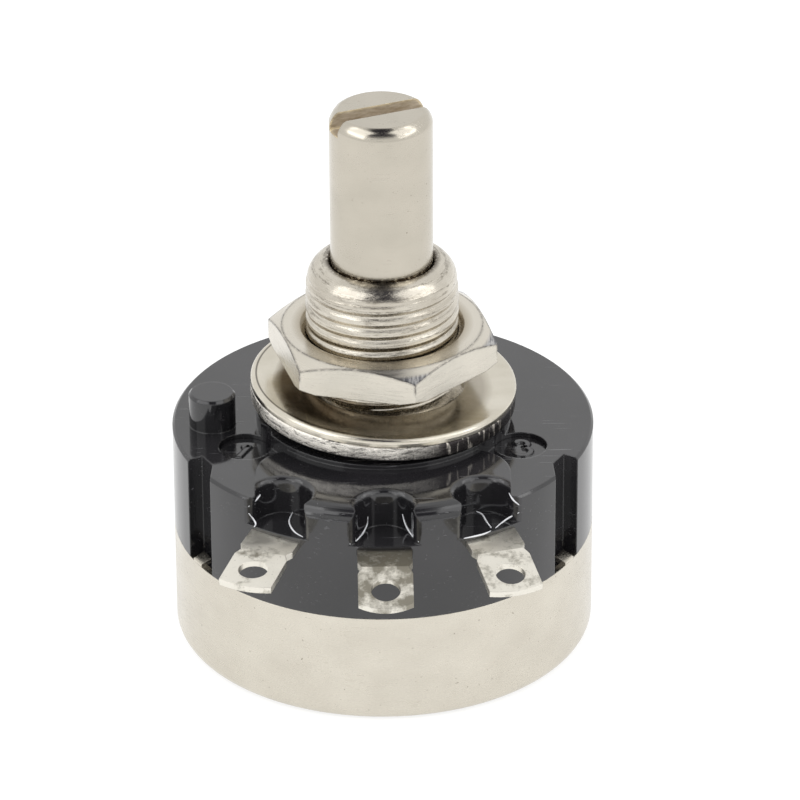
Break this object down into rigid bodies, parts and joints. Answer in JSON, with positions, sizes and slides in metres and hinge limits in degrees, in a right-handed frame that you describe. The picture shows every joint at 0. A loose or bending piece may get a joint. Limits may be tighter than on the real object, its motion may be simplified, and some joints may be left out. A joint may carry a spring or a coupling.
{
  "type": "rotary potentiometer",
  "caption": "Panel potentiometer with a moulded housing in a drawn metal cover, solder terminals, a threaded bushing with nut and washer, and a slotted round shaft.",
  "frame": {"origin": "centre of the rear cover's flat rear face, on the shaft's axis", "axes": "+Z along the shaft towards its slotted tip, -Y from the axis towards the middle terminal, +X towards terminal 3"},
  "size_m": [0.0249, 0.0298, 0.0333],
  "materials": {
    "nickel_cover": "drawn steel, bright nickel plated",
    "phenolic": "black phenolic moulding, glossy",
    "nickel_brass": "turned brass, nickel plated",
    "shaft_steel": "turned steel, nickel plated",
    "washer_steel": "punched steel, nickel plated, slightly yellow",
    "tinned_brass": "punched brass strip, tinned",
    "board": "paper-based phenolic board",
    "carbon": "matt carbon",
    "silver_film": "fired silver paste",
    "rotor_plastic": "dark brown phenolic moulding",
    "spring_bronze": "rolled bronze strip",
    "spring_steel": "hardened spring steel"
  },
  "bodies": {
    "case": {"rear_cover": "nickel_cover", "housing": "phenolic", "bushing": "nickel_brass", "hex_nut": "nickel_brass", "plain_washer": "washer_steel", "terminal_1": "tinned_brass", "terminal_2": "tinned_brass", "terminal_3": "tinned_brass", "rivet_1": "tinned_brass", "rivet_2": "tinned_brass", "rivet_3": "tinned_brass", "element_board": "board", "resistive_track": "carbon", "collector_ring": "silver_film", "track_pad_1": "silver_film", "track_pad_3": "silver_film"},
    "shaft": {"shaft": "shaft_steel", "rotor": "rotor_plastic", "contact_spring": "spring_bronze", "brush": "carbon", "brush_spring": "spring_steel", "retaining_ring": "spring_steel", "thrust_washer": "spring_bronze"}
  },
  "joints": [
    {"name": "shaft_turn", "type": "hinge", "parent": "case", "child": "shaft", "pos_m": [0, 0, 0], "axis": [0, 0, 1], "range_deg": [-150, 150]}
  ]
}
